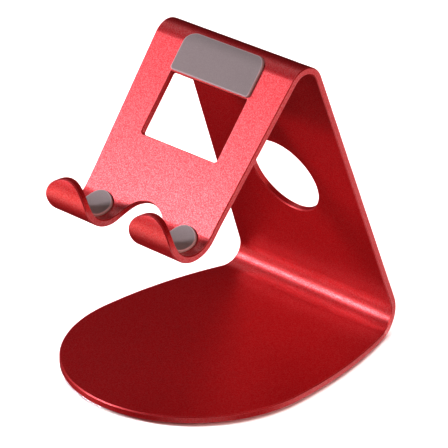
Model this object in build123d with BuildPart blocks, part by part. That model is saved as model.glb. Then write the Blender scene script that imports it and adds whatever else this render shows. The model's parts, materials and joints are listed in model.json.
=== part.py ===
from build123d import *

import math
import os

# A free-standing phone stand: one strip of anodised aluminium plate bent three times, lined with
# self-adhesive silicone pads. X runs across the stand, the phone side faces -Y, +Z is up, and the
# origin is the centre of the overall bounding box in X and Y, at the level the feet stand on.

# ---- driving dimensions, mm ----
plate = 2.5                    # plate thickness
edge_chamfer = 0.35            # machined chamfer on every outline edge of the plate

overall_depth = 111.9          # nose of the base to the back of the rear bend
base_half_width = 47.7         # half width of the base at its widest
nose_length = 49.4             # widest line of the base to its nose
flare_half_width = 39.4        # half width of the strip where the rear bend starts

rear_bend_radius = 7.2         # inside radii of the three bends
top_bend_radius = 5.5
hook_bend_radius = 9.2
back_angle = 69.3              # back panel from the horizontal
front_angle = 50.7             # front panel from the horizontal
hook_turn = 170.0              # how far the hooks curl round, to their tips
back_length = 101.0            # flat length of the back panel
front_length = 58.8            # flat length of the front panel

rear_half_width = 37.0         # half width of the strip at the foot of the back panel
hook_half_width = 29.9         # half width across the two hooks
hook_root = 5.0                # flat run of full-width plate above the hook bend

cable_hole_radius = 15.4       # round hole through the back panel
cable_hole_height = 45.4       # its centre, up the back panel from the rear bend
window_width = 35.4            # window through the front panel
window_top = 11.0              # its upper and lower edges, down the panel from the top bend
window_bottom = 34.8
window_corner_top = 0.6
window_corner_bottom = 1.4
notch_radius = 9.8             # arch between the two hooks
notch_rise = 3.4               # how far the arch reaches up the panel above the hook bend

adhesive = 0.15                # adhesive film behind each pad and foot
pad = 0.85                     # silicone of the pads, without the film
upper_pad_width = 36.5
upper_pad_wrap = 3.8           # how far the upper pad reaches back round the top bend
upper_pad_bottom = 10.6        # its lower edge, down the panel from the top bend
upper_pad_corner_top = 4.6
upper_pad_corner_bottom = 1.2
hook_pad_width = 12.0
hook_pad_rise = 1.1            # how far a hook pad reaches up the panel above the hook bend
hook_pad_end_turn = 13.5       # its upper end is cut square to the plate at this turn of the hook

foot_radius = 6.0
foot = 1.1                     # silicone of the feet, without the film
foot_chamfer = 0.3
front_foot_x = 26.0
front_foot_y = -35.0
rear_foot_x = 29.0
rear_foot_y = 37.0

# ---- how the shapes are cut ----
bend_stations = 9              # cross-sections that set the strip's outline through a bend
tip_allowance = 12.0           # extra turn of the hooks, which rounding their tips takes off
pad_allowance = 1.5            # the upper pad's profile is this much longer than its outline leaves it
section_height = 3 * plate     # height of a cross-section's frame, more than the plate
through = 2 * plate            # half depth of a cut right through the plate
smallest_broad_face = 400      # mm2; every wall along the plate's edge is smaller than this

# ---- derived positions ----
foot_stack = foot + adhesive
bend_y = overall_depth / 2 - rear_bend_radius - plate      # where the base ends and the rear bend starts
nose_y = -overall_depth / 2
widest_y = nose_y + nose_length
mid_z = foot_stack + plate / 2                             # mid plane of the base plate

rear_turn = 180 - back_angle
top_turn = back_angle + front_angle
rear_run = math.radians(rear_turn) * (rear_bend_radius + plate / 2)
top_run = math.radians(top_turn) * (top_bend_radius + plate / 2)
hook_run = math.radians(hook_turn) * (hook_bend_radius + plate / 2)
blank_turn = hook_turn + tip_allowance                     # the hooks before their tips are rounded off

back_start = rear_run                                      # run along the mid line from the base's end
top_start = back_start + back_length
front_start = top_start + top_run
hook_start = front_start + front_length
root_start = hook_start - hook_root                        # the strip's straight taper ends here
panel_length = front_length - hook_root
taper = (rear_half_width - hook_half_width) / (root_start - back_start)

window_middle = (window_top + window_bottom) / 2
arch_middle = notch_radius - notch_rise                    # centre of the notch's arch, past the root
finger_radius = (hook_half_width - notch_radius) / 2       # half width of one hook, and radius of its tip
finger_middle = (hook_half_width + notch_radius) / 2
tip_spread = finger_radius / hook_run                      # share of the hook's run in its round tip
wrap_angle = upper_pad_wrap / (top_bend_radius + plate / 2)
pad_top_edge = (top_bend_radius + plate) * math.sin(wrap_angle)

# ---- mid line of the strip, drawn flat: x is depth, y is height ----
with BuildLine() as mid_line:
    rear_arc = JernArc((bend_y, mid_z), (1, 0), rear_bend_radius + plate / 2, rear_turn)
    back_line = Line(rear_arc @ 1, (rear_arc @ 1) + (rear_arc % 1) * back_length)
    top_arc = JernArc(back_line @ 1, back_line % 1, top_bend_radius + plate / 2, top_turn)
    front_line = Line(top_arc @ 1, (top_arc @ 1) + (top_arc % 1) * panel_length)
    root_line = Line(front_line @ 1, (front_line @ 1) + (front_line % 1) * hook_root)
    hook_arc = JernArc(root_line @ 1, root_line % 1, hook_bend_radius + plate / 2, -blank_turn)


def spot(edge, u):
    """Point in space at the fraction u of an edge of the mid line."""
    return Plane.YZ.from_local_coords(edge @ u)


def heading(edge, u):
    """Direction in space of the mid line there."""
    return Plane.YZ.from_local_coords(edge % u)


def across(edge, u):
    """Plane that cuts the strip square across."""
    return Plane(origin=spot(edge, u), x_dir=(1, 0, 0), z_dir=heading(edge, u))


def facing(edge, u):
    """Plane tangent to the mid line: x across the strip, y along it, z out of the plate."""
    return Plane(origin=spot(edge, u), x_dir=(1, 0, 0), z_dir=Vector(1, 0, 0).cross(heading(edge, u)))


def leaf(edge, half_width, stations=2):
    """The plate along one edge of the mid line; half_width(u) gives its outline."""
    with BuildPart() as piece:
        with BuildSketch(Plane.YZ):
            trace(edge, line_width=plate)
        extrude(amount=base_half_width, both=True)
        for i in range(stations):
            u = i / (stations - 1)
            with BuildSketch(across(edge, u)):
                Rectangle(2 * half_width(u), section_height)
        loft(mode=Mode.INTERSECT)
    return piece.part


def tapered(start, length):
    """Half width of the strip from `start` on, where its edges are straight."""
    return lambda u: rear_half_width - taper * (start + u * length - back_start)


# ---- base plate: half an ellipse for the nose, and two long arcs back to the rear bend ----
with BuildPart() as base_leaf:
    with BuildSketch(Plane.XY.offset(foot_stack)):
        with BuildLine():
            nose = EllipticalCenterArc(
                (0, widest_y), base_half_width, nose_length, start_angle=180, arc_size=180
            )
            right_side = TangentArc(nose @ 1, (flare_half_width, bend_y), tangent=(0, 1))
            left_side = TangentArc(nose @ 0, (-flare_half_width, bend_y), tangent=(0, 1))
            Line(left_side @ 1, right_side @ 1)
        make_face()
    extrude(amount=plate)

flare_slope = -(right_side % 1).X / (right_side % 1).Y


def flare(u):
    """Half width through the rear bend: leaves the base and meets the taper with no corner."""
    h00 = 2 * u**3 - 3 * u**2 + 1
    h10 = u**3 - 2 * u**2 + u
    h11 = u**3 - u**2
    ends = h00 * flare_half_width + (1 - h00) * rear_half_width
    return ends - rear_run * (h10 * flare_slope + h11 * taper)


# ---- the bent plate ----
rear_bend_leaf = leaf(rear_arc, flare, bend_stations)
back_leaf = leaf(back_line, tapered(back_start, back_length))
top_bend_leaf = leaf(top_arc, tapered(top_start, top_run), bend_stations)
front_leaf = leaf(front_line, tapered(front_start, panel_length))

# the hooks' round tips are cut square to the plate, halfway along the rounding
tip_plane = facing(hook_arc, (1 - tip_spread / 2) * hook_turn / blank_turn)
tip_centre_y = -finger_radius / 2

with BuildPart() as stand_frame:
    add([base_leaf.part, rear_bend_leaf, back_leaf, top_bend_leaf, front_leaf])
    with BuildSketch(Plane.YZ):
        trace([root_line, hook_arc], line_width=plate)
    extrude(amount=hook_half_width, both=True)

    # round hole for a cable, through the back panel
    with BuildSketch(facing(back_line, cable_hole_height / back_length)):
        Circle(cable_hole_radius)
    extrude(amount=through, both=True, mode=Mode.SUBTRACT)

    # window through the front panel
    with BuildSketch(facing(front_line, window_middle / panel_length)) as window_outline:
        Rectangle(window_width, window_bottom - window_top)
        fillet(window_outline.vertices().group_by(Axis.Y)[-1], window_corner_bottom)
        fillet(window_outline.vertices().group_by(Axis.Y)[0], window_corner_top)
    extrude(amount=through, both=True, mode=Mode.SUBTRACT)

    # notch between the hooks: an arch reaching up into the panel, then open all the way out
    with BuildSketch(facing(hook_arc, 0)):
        with Locations((0, arch_middle)):
            Circle(notch_radius)
            Rectangle(2 * notch_radius, hook_bend_radius + plate, align=(Align.CENTER, Align.MIN))
    extrude(amount=2 * hook_bend_radius + section_height, both=True, mode=Mode.SUBTRACT)

    # full-round hook tips
    with BuildSketch(tip_plane):
        with Locations((0, tip_centre_y)):
            Rectangle(2 * base_half_width, 2 * finger_radius, align=(Align.CENTER, Align.MIN))
        with Locations((-finger_middle, tip_centre_y), (finger_middle, tip_centre_y)):
            Circle(finger_radius, mode=Mode.SUBTRACT)
    extrude(amount=through, both=True, mode=Mode.SUBTRACT)

    # chamfer round the whole outline, the hole and the window, on both broad faces
    broad_faces = [face for face in stand_frame.faces() if face.area > smallest_broad_face]
    broad_edges = [edge for face in broad_faces for edge in face.edges()]
    chamfer(ShapeList(edge for edge in broad_edges if broad_edges.count(edge) == 1), edge_chamfer)


def beside(edge, u, distance):
    """Point of the drawn profile at a distance from the mid line, on the phone side."""
    tangent = edge % u
    return (edge @ u) + Vector(tangent.Y, -tangent.X) * distance


def upper_layer(gap, thickness):
    """Layer on the phone side of the front panel's top, wrapped a little way round the top bend."""
    distance = plate / 2 + gap + thickness / 2
    start = 1 - pad_allowance * upper_pad_wrap / top_run
    with BuildLine() as path:
        bend_radius = top_bend_radius + plate / 2 + distance
        bend_turn = (1 - start) * top_turn
        bend = JernArc(beside(top_arc, start, distance), top_arc % start, bend_radius, bend_turn)
        Line(bend @ 1, (bend @ 1) + (bend % 1) * pad_allowance * upper_pad_bottom)
    with BuildPart() as piece:
        with BuildSketch(Plane.YZ):
            trace(path.edges(), line_width=thickness)
        extrude(amount=upper_pad_width, both=True)
        with BuildSketch(facing(front_line, 0)) as outline:
            with Locations((0, (upper_pad_bottom - pad_top_edge) / 2)):
                Rectangle(upper_pad_width, upper_pad_bottom + pad_top_edge)
            fillet(outline.vertices().group_by(Axis.Y)[0], upper_pad_corner_top)
            fillet(outline.vertices().group_by(Axis.Y)[-1], upper_pad_corner_bottom)
        extrude(amount=2 * section_height, both=True, mode=Mode.INTERSECT)
    return piece.part


def hook_layer(side, gap, thickness):
    """Layer lining one hook, side -1 or 1: a strip with full-round ends."""
    distance = plate / 2 + gap + thickness / 2
    radius = hook_pad_width / 2
    end_turn = math.radians(hook_pad_end_turn)
    end_y = -hook_bend_radius * math.sin(end_turn) - hook_pad_rise * math.cos(end_turn)
    with BuildLine() as path:
        start = beside(root_line, 0, distance)
        run_in = Line(start, start + (root_line % 0) * hook_root)
        JernArc(run_in @ 1, root_line % 1, hook_bend_radius + plate / 2 - distance, -hook_turn)
    with BuildPart() as piece:
        with BuildSketch(Plane.YZ.offset(side * finger_middle)):
            trace(path.edges(), line_width=thickness)
        extrude(amount=radius, both=True)
        # rounded end on the panel, square to the plate part way round the end
        with BuildSketch(facing(hook_arc, hook_pad_end_turn / blank_turn)):
            with Locations((side * finger_middle, end_y + radius)):
                Rectangle(2 * hook_pad_width, hook_pad_width, align=(Align.CENTER, Align.MAX))
                Circle(radius, mode=Mode.SUBTRACT)
        extrude(amount=through, both=True, mode=Mode.SUBTRACT)
        # rounded end inside the hook's tip, concentric with it
        with BuildSketch(tip_plane):
            with Locations((side * finger_middle, tip_centre_y)):
                Rectangle(2 * hook_pad_width, hook_pad_width, align=(Align.CENTER, Align.MIN))
                Circle(radius, mode=Mode.SUBTRACT)
        extrude(amount=through, both=True, mode=Mode.SUBTRACT)
    return piece.part


pieces = {"stand_frame": stand_frame.part}
pieces["upper_pad_adhesive"] = upper_layer(0, adhesive)
pieces["upper_pad"] = upper_layer(adhesive, pad)
for side, side_name in ((-1, "left"), (1, "right")):
    pieces[f"hook_pad_adhesive_{side_name}"] = hook_layer(side, 0, adhesive)
    pieces[f"hook_pad_{side_name}"] = hook_layer(side, adhesive, pad)

# ---- feet under the base: round silicone discs, each on its own adhesive film ----
foot_rows = (("front", front_foot_x, front_foot_y), ("rear", rear_foot_x, rear_foot_y))
for end_name, foot_x, foot_y in foot_rows:
    for side, side_name in ((-1, "left"), (1, "right")):
        with BuildPart() as foot_disc:
            with BuildSketch():
                with Locations((side * foot_x, foot_y)):
                    Circle(foot_radius)
            extrude(amount=foot)
            chamfer(foot_disc.edges().group_by(Axis.Z)[0], foot_chamfer)
        with BuildPart() as foot_film:
            with BuildSketch(Plane.XY.offset(foot)):
                with Locations((side * foot_x, foot_y)):
                    Circle(foot_radius)
            extrude(amount=adhesive)
        pieces[f"foot_{end_name}_{side_name}"] = foot_disc.part
        pieces[f"foot_adhesive_{end_name}_{side_name}"] = foot_film.part

os.makedirs("parts", exist_ok=True)
for name, piece in pieces.items():
    piece.label = name
    export_step(piece, f"parts/{name}.step")
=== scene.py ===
import json
import math

import bmesh
import bpy
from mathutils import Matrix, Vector


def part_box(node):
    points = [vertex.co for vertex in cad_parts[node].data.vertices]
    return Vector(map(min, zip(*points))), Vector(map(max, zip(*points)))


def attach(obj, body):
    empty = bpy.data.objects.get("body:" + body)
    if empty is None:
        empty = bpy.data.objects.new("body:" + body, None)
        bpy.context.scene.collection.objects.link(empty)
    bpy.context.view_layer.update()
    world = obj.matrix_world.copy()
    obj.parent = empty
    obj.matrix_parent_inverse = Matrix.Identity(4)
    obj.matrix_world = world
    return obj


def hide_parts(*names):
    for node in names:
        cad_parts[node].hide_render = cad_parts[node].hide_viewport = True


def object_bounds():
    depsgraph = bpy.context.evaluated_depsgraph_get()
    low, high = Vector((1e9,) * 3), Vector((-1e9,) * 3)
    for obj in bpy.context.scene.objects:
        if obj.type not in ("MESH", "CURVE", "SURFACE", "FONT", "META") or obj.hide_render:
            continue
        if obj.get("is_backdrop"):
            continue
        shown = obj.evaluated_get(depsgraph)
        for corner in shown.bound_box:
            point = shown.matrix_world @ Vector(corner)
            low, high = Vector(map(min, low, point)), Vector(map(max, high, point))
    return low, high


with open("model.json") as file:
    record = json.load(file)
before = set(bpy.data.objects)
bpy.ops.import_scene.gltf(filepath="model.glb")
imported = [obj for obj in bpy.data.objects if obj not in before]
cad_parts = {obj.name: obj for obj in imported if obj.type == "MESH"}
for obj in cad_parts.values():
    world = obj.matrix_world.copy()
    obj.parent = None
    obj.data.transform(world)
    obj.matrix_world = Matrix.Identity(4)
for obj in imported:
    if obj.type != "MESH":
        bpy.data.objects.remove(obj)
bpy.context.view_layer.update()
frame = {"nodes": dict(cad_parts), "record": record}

# The visual model of a desktop phone stand, in the CAD model's frame. The bent plate and the adhesive
# films are the CAD solids with better materials. The pads and feet are silicone pieces modelled here, in
# place of their plain solids. Shapes are worked out in mm, lights and camera in metres.

nodes = frame["nodes"]
subparts = frame["record"]["subparts"]
scene = bpy.context.scene
MM = 0.001

# ---- the stand's profile, as in the CAD model, mm ----
PLATE = 2.5
BEND_TOP = 5.5                          # inside radii of the top bend and of the hooks
BEND_HOOK = 9.2
FRONT_ANGLE = math.radians(50.7)        # front panel from the horizontal
PANEL_START = Vector((6.92, 110.31))    # (y, z) of the plate's middle line, where the front panel starts
PANEL_END = Vector((-30.33, 64.80))     # and where it ends
DOWN = Vector((-math.cos(FRONT_ANGLE), -math.sin(FRONT_ANGLE)))    # down the front panel, as (y, z)
OUT = Vector((-math.sin(FRONT_ANGLE), math.cos(FRONT_ANGLE)))      # out of its phone side
FILM = 0.15                             # adhesive film
PAD = 0.85                              # silicone on it

# ---- outlines of the silicone pieces, mm ----
UPPER_PAD_HALF_WIDTH = 18.25
UPPER_PAD_TOP = -4.27                   # its two edges, down the panel from where the panel starts
UPPER_PAD_BOTTOM = 10.60
UPPER_PAD_CORNER_TOP = 4.6
UPPER_PAD_CORNER_BOTTOM = 1.2
HOOK_PAD_RADIUS = 6.0                   # half its width, and the radius of its two round ends
HOOK_PAD_START = math.radians(13.5)     # each end is a circle cast squarely on the hook at this turn of it,
HOOK_PAD_START_CENTRE = 2.78            # with its centre this much further on
HOOK_PAD_END = math.radians(142.45)
HOOK_PAD_END_CENTRE = -5.025
FOOT_RADIUS = 6.0
PAD_RIM, FOOT_RIM = 0.38, 0.3           # fillet round the face
PAD_CROWN, FOOT_CROWN = 0.05, 0.04      # how far the middle of the face stands above its border
END_ROW = 0.02                          # half width of the first row of a round end, in place of a point

# ---- how finely they are drawn ----
CORNER_TOP_STEPS, UPPER_PAD_STEPS, CORNER_BOTTOM_STEPS = 10, 14, 6
HOOK_PAD_END_STEPS, HOOK_PAD_STEPS = 12, 24
FOOT_STEPS = 40
RIM_STEPS = 5
COLUMNS, UPPER_PAD_COLUMNS = 16, 28     # across each row
SHARP_ANGLE = math.radians(40)          # edges sharper than this are not smoothed


# ------------------------------------------------------------------ materials
RED_DARK, RED_LIGHT = (0.63, 0.0075, 0.013), (0.69, 0.010, 0.017)
RED_EDGE_HIGHLIGHT = (0.95, 0.22, 0.24)           # painted highlight: the machined edges are drawn paler, as if they caught the light
EDGE_HIGHLIGHT_SHARE = 0.8                        # how much of that painted highlight shows
PAD_DARK, PAD_LIGHT = (0.367, 0.334, 0.322), (0.395, 0.360, 0.348)
FOOT_DARK, FOOT_LIGHT = (0.23, 0.21, 0.205), (0.28, 0.26, 0.255)
SILICONE_RIM_HIGHLIGHT = (0.70, 0.62, 0.63)       # painted highlight: the rounded rim of the silicone is drawn paler, as if it caught the light
RIM_HIGHLIGHT_SHARE = 0.80
FILM_DARK, FILM_LIGHT = (0.42, 0.38, 0.36), (0.60, 0.56, 0.52)
PAPER_DARK, PAPER_LIGHT = (0.90, 0.90, 0.90), (0.92, 0.92, 0.92)


def feed(tree, socket, value):
    """Give a socket a number, a colour or another node's output."""
    if isinstance(value, tuple):
        socket.default_value = (*value, 1)
    elif isinstance(value, (int, float)):
        socket.default_value = value
    else:
        tree.links.new(value, socket)


class Nodes:
    """Short hand for building one material's node tree; texture scales are per metre."""

    def __init__(self, name):
        self.mat = bpy.data.materials.new(name)
        self.mat.use_nodes = True
        self.tree = self.mat.node_tree
        self.bsdf = self.tree.nodes["Principled BSDF"]
        self.coords = self.tree.nodes.new("ShaderNodeTexCoord").outputs["Object"]

    def noise(self, scale, detail, roughness=0.5):
        node = self.tree.nodes.new("ShaderNodeTexNoise")
        feed(self.tree, node.inputs["Scale"], scale)
        feed(self.tree, node.inputs["Detail"], detail)
        feed(self.tree, node.inputs["Roughness"], roughness)
        feed(self.tree, node.inputs["Vector"], self.coords)
        return node.outputs["Fac"]

    def cells(self, scale):
        node = self.tree.nodes.new("ShaderNodeTexVoronoi")
        feed(self.tree, node.inputs["Scale"], scale)
        feed(self.tree, node.inputs["Vector"], self.coords)
        return node.outputs["Distance"]

    def attribute(self, name):
        node = self.tree.nodes.new("ShaderNodeAttribute")
        node.attribute_name = name
        return node.outputs["Fac"]

    def grey_ramp(self, value, *stops):
        """Two stops, each a position and a grey level."""
        node = self.tree.nodes.new("ShaderNodeValToRGB")
        for element, (position, level) in zip(node.color_ramp.elements, stops):
            element.position = position
            element.color = (level, level, level, 1)
        feed(self.tree, node.inputs["Fac"], value)
        return node.outputs["Color"]

    def span(self, value, low, high, from_low=0.0, from_high=1.0):
        node = self.tree.nodes.new("ShaderNodeMapRange")
        feed(self.tree, node.inputs["From Min"], from_low)
        feed(self.tree, node.inputs["From Max"], from_high)
        feed(self.tree, node.inputs["To Min"], low)
        feed(self.tree, node.inputs["To Max"], high)
        feed(self.tree, node.inputs["Value"], value)
        return node.outputs["Result"]

    def maths(self, operation, a, b):
        node = self.tree.nodes.new("ShaderNodeMath")
        node.operation = operation
        feed(self.tree, node.inputs[0], a)
        feed(self.tree, node.inputs[1], b)
        return node.outputs[0]

    def mix(self, factor, a, b, blend="MIX"):
        node = self.tree.nodes.new("ShaderNodeMix")
        node.data_type = "RGBA"
        node.blend_type = blend
        # a Mix node has one set of sockets for each data type; 6 and 7 are the colours
        for index, value in ((0, factor), (6, a), (7, b)):
            feed(self.tree, node.inputs[index], value)
        return node.outputs[2]

    def bump(self, height, distance, strength):
        node = self.tree.nodes.new("ShaderNodeBump")
        feed(self.tree, node.inputs["Distance"], distance)
        feed(self.tree, node.inputs["Strength"], strength)
        feed(self.tree, node.inputs["Height"], height)
        return node.outputs["Normal"]

    def edges(self, radius):
        """1 near a sharp edge, 0 on open faces."""
        bevel = self.tree.nodes.new("ShaderNodeBevel")
        bevel.samples = 6
        feed(self.tree, bevel.inputs["Radius"], radius)
        geometry = self.tree.nodes.new("ShaderNodeNewGeometry")
        dot = self.tree.nodes.new("ShaderNodeVectorMath")
        dot.operation = "DOT_PRODUCT"
        feed(self.tree, dot.inputs[0], bevel.outputs["Normal"])
        feed(self.tree, dot.inputs[1], geometry.outputs["Normal"])
        return self.span(dot.outputs["Value"], 1.0, 0.0, from_low=0.8, from_high=1.0)

    def put(self, **sockets):
        """Feed the shader's own sockets, named with _ for each space."""
        for name, value in sockets.items():
            feed(self.tree, self.bsdf.inputs[name.replace("_", " ")], value)
        return self.mat


def anodised_aluminium():
    """Bead-blasted and dyed red: a half-metal base under a clear layer that glints in a fine speckle, with a
    painted highlight along the edges.
    """
    m = Nodes("anodised_red")
    cloud = m.noise(scale=45, detail=3)
    grain = m.noise(scale=3200, detail=2, roughness=0.6)
    beads = m.cells(scale=2600)
    sparkle = m.noise(scale=2500, detail=2, roughness=0.65)
    red = m.mix(cloud, RED_DARK, RED_LIGHT)
    speckle = m.grey_ramp(grain, (0.30, 0.70), (0.72, 1.0))
    red = m.mix(1.0, red, speckle, "MULTIPLY")
    # painted highlight: the base colour turns paler near the sharp edges
    red = m.mix(m.maths("MULTIPLY", m.edges(radius=0.5 * MM), EDGE_HIGHLIGHT_SHARE), red, RED_EDGE_HIGHLIGHT)
    roughness = m.span(m.noise(scale=700, detail=2), 0.36, 0.44, from_low=0.3, from_high=0.7)
    height = m.maths("ADD", m.maths("MULTIPLY", beads, 0.6), m.maths("MULTIPLY", grain, 0.6))
    normal = m.bump(height, distance=0.12 * MM, strength=0.3)
    return m.put(
        Base_Color=red,
        Metallic=0.42,
        Roughness=roughness,
        Specular_IOR_Level=0.3,
        Coat_Weight=m.span(sparkle, 0.08, 1.0, from_low=0.38, from_high=0.62),
        Coat_Roughness=0.33,
        Coat_IOR=1.67,
        Normal=normal,
        Coat_Normal=normal,
    )


def silicone(name, dark, light):
    m = Nodes(name)
    cloud = m.noise(scale=160, detail=3)
    grain = m.noise(scale=2600, detail=3, roughness=0.6)
    grey = m.mix(cloud, dark, light)
    grey = m.mix(1.0, grey, m.grey_ramp(grain, (0.3, 0.86), (0.7, 1.0)), "MULTIPLY")
    # painted highlight: paler on the rounded rim, the top of the side and the border of the face
    grey = m.mix(m.maths("MULTIPLY", m.attribute("rim"), RIM_HIGHLIGHT_SHARE), grey, SILICONE_RIM_HIGHLIGHT)
    return m.put(
        Base_Color=grey,
        Roughness=m.span(m.noise(scale=900, detail=2), 0.55, 0.68, from_low=0.3, from_high=0.7),
        IOR=1.42,
        Sheen_Weight=0.12,
        Sheen_Roughness=0.5,
        Normal=m.bump(grain, distance=0.08 * MM, strength=0.5),
    )


def adhesive_film():
    m = Nodes("adhesive_film")
    cloud = m.noise(scale=500, detail=3)
    return m.put(
        Base_Color=m.mix(cloud, FILM_DARK, FILM_LIGHT),
        Roughness=m.span(m.noise(scale=1500, detail=2), 0.3, 0.5),
        Normal=m.bump(cloud, distance=0.03 * MM, strength=0.4),
    )


def floor_paper():
    m = Nodes("floor_paper")
    return m.put(Base_Color=m.mix(m.noise(scale=8, detail=2), PAPER_DARK, PAPER_LIGHT), Roughness=0.9)


MATERIALS = {
    "anodised_aluminium": anodised_aluminium(),
    "pad_silicone": silicone("pad_silicone", PAD_DARK, PAD_LIGHT),
    "foot_silicone": silicone("foot_silicone", FOOT_DARK, FOOT_LIGHT),
    "adhesive_film": adhesive_film(),
}
SILICONE_SLOTS = ("pad_silicone", "foot_silicone")


def paint(obj, slot):
    obj.data.materials.clear()
    obj.data.materials.append(MATERIALS[slot])


# ------------------------------------------------------------------ CAD nodes that stay
for row in subparts:
    if row["material_slot"] not in SILICONE_SLOTS:
        paint(nodes[row["node"]], row["material_slot"])


# ------------------------------------------------------------------ silicone pieces
# Each piece is drawn by its rows: (half width, (y, z)) of one line across it after another, drawn in by
# inset all round and lifted by height off the surface it is stuck to.
def quarter(steps):
    """Angles of a quarter turn, both ends included."""
    return [math.pi / 2 * i / steps for i in range(steps + 1)]


def between(start, end, steps):
    """Evenly spaced values between two, both ends left out."""
    return [start + (end - start) * i / steps for i in range(1, steps)]


def upper_pad_rows(inset, height):
    """From over the top bend down the panel."""
    centre = PANEL_START - OUT * (BEND_TOP + PLATE / 2)
    radius = BEND_TOP + PLATE + FILM + height
    half, top, bottom = UPPER_PAD_HALF_WIDTH - inset, UPPER_PAD_TOP + inset, UPPER_PAD_BOTTOM - inset
    outline = []
    r = UPPER_PAD_CORNER_TOP - inset
    for a in quarter(CORNER_TOP_STEPS):
        outline.append((half - r + r * math.sin(a), top + r - r * math.cos(a)))
    r = UPPER_PAD_CORNER_BOTTOM - inset
    outline += [(half, down) for down in between(outline[-1][1], bottom - r, UPPER_PAD_STEPS)]
    for a in quarter(CORNER_BOTTOM_STEPS):
        outline.append((half - r + r * math.cos(a), bottom - r + r * math.sin(a)))
    rows = []
    for half_width, down in outline:
        lift = radius if down >= 0 else math.sqrt(radius ** 2 - down ** 2)
        rows.append((half_width, centre + DOWN * down + OUT * lift))
    return rows


def hook_pad_rows(inset, height):
    """Round the inside of a hook, from the pad's upper end to the one beside the hook's tip."""
    centre = PANEL_END + OUT * (BEND_HOOK + PLATE / 2)
    radius = BEND_HOOK - FILM - height
    half = HOOK_PAD_RADIUS - inset
    outline = []
    for a in quarter(HOOK_PAD_END_STEPS):
        along = HOOK_PAD_START_CENTRE - half * math.cos(a)
        outline.append((max(half * math.sin(a), END_ROW), HOOK_PAD_START + math.asin(along / radius)))
    end = HOOK_PAD_END + math.asin(HOOK_PAD_END_CENTRE / radius)
    outline += [(half, turn) for turn in between(outline[-1][1], end, HOOK_PAD_STEPS)]
    for a in quarter(HOOK_PAD_END_STEPS):
        along = HOOK_PAD_END_CENTRE + half * math.sin(a)
        outline.append((max(half * math.cos(a), END_ROW), HOOK_PAD_END + math.asin(along / radius)))
    return [
        (half_width, centre - OUT * (radius * math.cos(turn)) + DOWN * (radius * math.sin(turn)))
        for half_width, turn in outline
    ]


def foot_rows(middle_y, top_z):
    """Rows of a round foot, from its front to its back; it is lifted downwards, off the base."""
    half_turn = [math.pi * i / FOOT_STEPS for i in range(FOOT_STEPS + 1)]

    def rows(inset, height):
        radius = FOOT_RADIUS - inset
        return [
            (max(radius * math.sin(a), END_ROW), Vector((middle_y - radius * math.cos(a), top_z - height)))
            for a in half_turn
        ]
    return rows


def silicone_piece(name, rows, middle_x, thickness, rim, crown, columns=COLUMNS):
    """A thin pad with a straight side, a rounded rim and a slightly domed face.

    The attribute rim is 1 on the rounded rim and on the border of the face, and 0 elsewhere; the material
    paints a highlight there.
    """
    bm = bmesh.new()
    rim_mask = bm.verts.layers.float.new("rim")
    across = [-math.cos(math.pi * j / columns) for j in range(columns + 1)]
    face = thickness - crown

    def vertex(side, half_width, point):
        """side runs from -1 at the row's left end to 1 at its right end."""
        return bm.verts.new(((middle_x + side * half_width) * MM, point.x * MM, point.y * MM))

    def ring(inset, height):
        lines = rows(inset, height)
        around = [(side, lines[0]) for side in across]
        around += [(1, line) for line in lines[1:-1]]
        around += [(side, lines[-1]) for side in reversed(across)]
        around += [(-1, line) for line in reversed(lines[1:-1])]
        return [vertex(side, *line) for side, line in around]

    rings = [ring(0.0, 0.0), ring(0.0, (face - rim) / 2), ring(0.0, face - rim)]
    for a in quarter(RIM_STEPS)[1:-1]:
        rings.append(ring(rim * (1 - math.cos(a)), face - rim + rim * math.sin(a)))

    grid = []
    border_rows, crown_rows = rows(rim, face), rows(rim, face + crown)
    for k, (half_width, border_point) in enumerate(border_rows):
        crown_point = crown_rows[k][1]
        along = 2 * k / (len(border_rows) - 1) - 1
        # the dome is nearly flat in the middle and falls away near the border
        domes = [(1 - side ** 4) * (1 - along ** 4) for side in across]
        grid.append([vertex(side, half_width, border_point.lerp(crown_point, dome))
                     for side, dome in zip(across, domes)])
    right_side, left_side = [line[-1] for line in grid[1:-1]], [line[0] for line in grid[1:-1]]
    rings.append(grid[0] + right_side + grid[-1][::-1] + left_side[::-1])

    for below, above in zip(rings, rings[1:]):
        for i in range(len(below)):
            j = (i + 1) % len(below)
            bm.faces.new((below[i], below[j], above[j], above[i]))
    for line, following in zip(grid, grid[1:]):
        for j in range(columns):
            bm.faces.new((line[j], line[j + 1], following[j + 1], following[j]))

    # the side on the film is closed with one strip for each row
    under, count = rings[0], len(grid)
    right, left = under[columns:columns + count], [under[-k] for k in range(count)]
    bm.faces.new(under[:columns + 1] + [right[1], left[1]])
    for k in range(1, count - 2):
        bm.faces.new((left[k], right[k], right[k + 1], left[k + 1]))
    bm.faces.new(under[columns + count - 1:2 * columns + count] + [left[-2], right[-2]])

    bmesh.ops.recalc_face_normals(bm, faces=bm.faces)
    for rounded in rings[2:]:
        for corner in rounded:
            corner[rim_mask] = 1.0
    mesh = bpy.data.meshes.new(name)
    bm.to_mesh(mesh)
    bm.free()
    mesh.shade_smooth()
    mesh.set_sharp_from_angle(angle=SHARP_ANGLE)
    piece = bpy.data.objects.new(name, mesh)
    scene.collection.objects.link(piece)
    return piece


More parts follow.
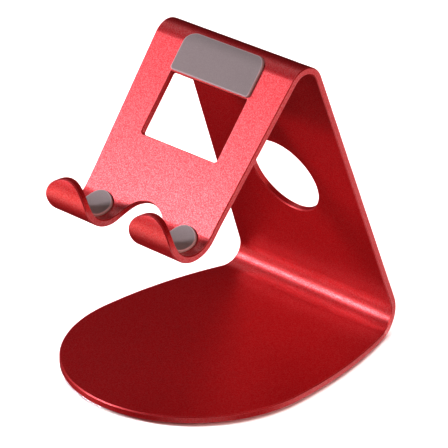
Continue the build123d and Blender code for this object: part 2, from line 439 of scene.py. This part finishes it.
for row in subparts:
    node, material_slot = row["node"], row["material_slot"]
    if material_slot not in SILICONE_SLOTS:
        continue
    low, high = (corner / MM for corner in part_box(node))
    middle = (low + high) / 2
    name = node + "_silicone"
    if node == "upper_pad":
        piece = silicone_piece(name, upper_pad_rows, middle.x, PAD, PAD_RIM, PAD_CROWN, UPPER_PAD_COLUMNS)
    elif node.startswith("hook_pad"):
        piece = silicone_piece(name, hook_pad_rows, middle.x, PAD, PAD_RIM, PAD_CROWN)
    else:
        rows = foot_rows(middle.y, high.z)
        piece = silicone_piece(name, rows, middle.x, high.z - low.z, FOOT_RIM, FOOT_CROWN)
    paint(piece, material_slot)
    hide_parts(node)
    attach(piece, "root")


# ------------------------------------------------------------------ stage
FLOOR_HALF_SIZE = 8.0
FLOOR_DROP = 0.02 * MM                  # keeps the floor off the feet's undersides


def stage_floor():
    """Pale paper that only the camera sees; low cards stand in for the light that it would throw back."""
    mesh = bpy.data.meshes.new("floor")
    corners = [(-1, -1), (1, -1), (1, 1), (-1, 1)]
    mesh.from_pydata([(x * FLOOR_HALF_SIZE, y * FLOOR_HALF_SIZE, 0) for x, y in corners], [], [(0, 1, 2, 3)])
    mesh.materials.append(floor_paper())
    floor = bpy.data.objects.new("floor", mesh)
    scene.collection.objects.link(floor)
    floor.location.z = -FLOOR_DROP
    floor.visible_glossy = False
    floor.visible_diffuse = False
    floor.visible_shadow = False
    floor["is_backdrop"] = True
    return floor


floor = stage_floor()


# ------------------------------------------------------------------ lights
AIM = Vector((0, 0, 0.060))             # about the middle of the stand
WHITE = (1, 1, 1)
COOL = (0.97, 0.905, 1.0)
WARM = (1.0, 0.60, 0.56)                # light that has bounced off the red plate
WARMER = (1.0, 0.52, 0.48)


def toward(azimuth, elevation):
    """Unit vector; azimuth 0 is straight in front (-Y), negative to the left."""
    a, e = math.radians(azimuth), math.radians(elevation)
    return Vector((math.sin(a) * math.cos(e), -math.cos(a) * math.cos(e), math.sin(e)))


def softbox(name, direction, distance, size, radiance, colour=WHITE):
    """Rectangular light that points at the stand; its radiance is what a mirror would show."""
    light = bpy.data.lights.new(name, "AREA")
    light.shape = "RECTANGLE"
    light.size, light.size_y = size
    light.energy = radiance * math.pi * size[0] * size[1]
    light.color = colour
    box = bpy.data.objects.new(name, light)
    scene.collection.objects.link(box)
    direction = direction.normalized()
    box.location = AIM + direction * distance
    box.rotation_mode = "QUATERNION"
    box.rotation_quaternion = (-direction).to_track_quat("-Z", "Y")
    return box


def near_card(name, place, facing, size, radiance, colour):
    """Small card close to the stand, turned to the point that it faces."""
    card = softbox(name, Vector(place) - Vector(facing), 1.0, size, radiance, colour)
    card.location = place               # in place of the one that looks at AIM


# from the left: the key, a card that helps it on the front panel, and a wide fill
softbox("key", toward(-39, 27), distance=1.0, size=(0.12, 0.14), radiance=128.0, colour=COOL)
softbox("panel_card", toward(-50, 31), distance=0.5, size=(0.13, 0.13), radiance=2.6, colour=COOL)
softbox("fill", toward(-98, 50), distance=1.0, size=(0.60, 0.50), radiance=1.1)
# from the right: on the cut edges, and on their chamfers
softbox("fill_right", toward(95, 12), distance=0.5, size=(0.30, 0.30), radiance=5.6, colour=WARMER)
softbox("edge_card", toward(61, 27), distance=0.5, size=(0.16, 0.16), radiance=1.3, colour=WARM)
# low: what the red plate and the white paper would throw back
HOOK_CARD_PLACE, HOOK_CARD_FACES = (-0.15, -0.20, 0.035), (0, -0.05, 0.07)
BOUNCE_LEFT_PLACE, BOUNCE_LEFT_FACES = (-0.17, -0.22, -0.03), (-0.17, -0.22, 0)
near_card("hook_card", HOOK_CARD_PLACE, HOOK_CARD_FACES, size=(0.20, 0.20), radiance=1.3, colour=WARM)
near_card("bounce_left", BOUNCE_LEFT_PLACE, BOUNCE_LEFT_FACES, size=(0.24, 0.24), radiance=1.75, colour=WARM)
softbox("bounce_front", toward(50, -50), distance=0.6, size=(0.45, 0.45), radiance=1.3)
softbox("bounce_right", toward(132, -27), distance=0.8, size=(0.60, 0.34), radiance=1.4)
# from behind, for the side that the camera doesn't see; low, so that the base doesn't mirror it
softbox("back_card", toward(180, -16), distance=0.7, size=(0.70, 0.16), radiance=9.0)

# the paper has a light of its own, from straight above, that falls on nothing else
only_floor = bpy.data.collections.new("lit_by_paper_light")
only_floor.objects.link(floor)
STRAIGHT_UP = Vector((0, 0, 1))
paper_light = softbox("paper_light", STRAIGHT_UP, distance=1.6, size=(2.4, 2.4), radiance=4.0)
paper_light.light_linking.receiver_collection = only_floor

WORLD_STRENGTH = 0.02
world = bpy.data.worlds.new("studio")
scene.world = world
world.use_nodes = True
background = world.node_tree.nodes["Background"]
background.inputs["Color"].default_value = (*WHITE, 1)
background.inputs["Strength"].default_value = WORLD_STRENGTH


# ------------------------------------------------------------------ camera
# found by fitting the stand's drawn edges to the photo's
LENS, SENSOR = 247.43, 36.0             # mm
LOOK_AT = Vector((-0.012587, 0.019542, 0.038964))
CAMERA_AZIMUTH, CAMERA_ELEVATION, CAMERA_DISTANCE = 43.833, 25.912, 1.0867
NEAREST, FARTHEST = 0.05, 50.0
GAMMA = 0.88                            # below 1, it deepens the dark reds, as in the photo

camera = bpy.data.objects.new("camera", bpy.data.cameras.new("camera"))
scene.collection.objects.link(camera)
camera.data.sensor_width = SENSOR
camera.data.lens = LENS
camera.data.clip_start, camera.data.clip_end = NEAREST, FARTHEST
back = toward(CAMERA_AZIMUTH, CAMERA_ELEVATION)
camera.location = LOOK_AT + back * CAMERA_DISTANCE
camera.rotation_mode = "QUATERNION"
camera.rotation_quaternion = (-back).to_track_quat("-Z", "Y")
scene.camera = camera
scene.view_settings.view_transform = "Standard"
scene.view_settings.gamma = GAMMA

low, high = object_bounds()
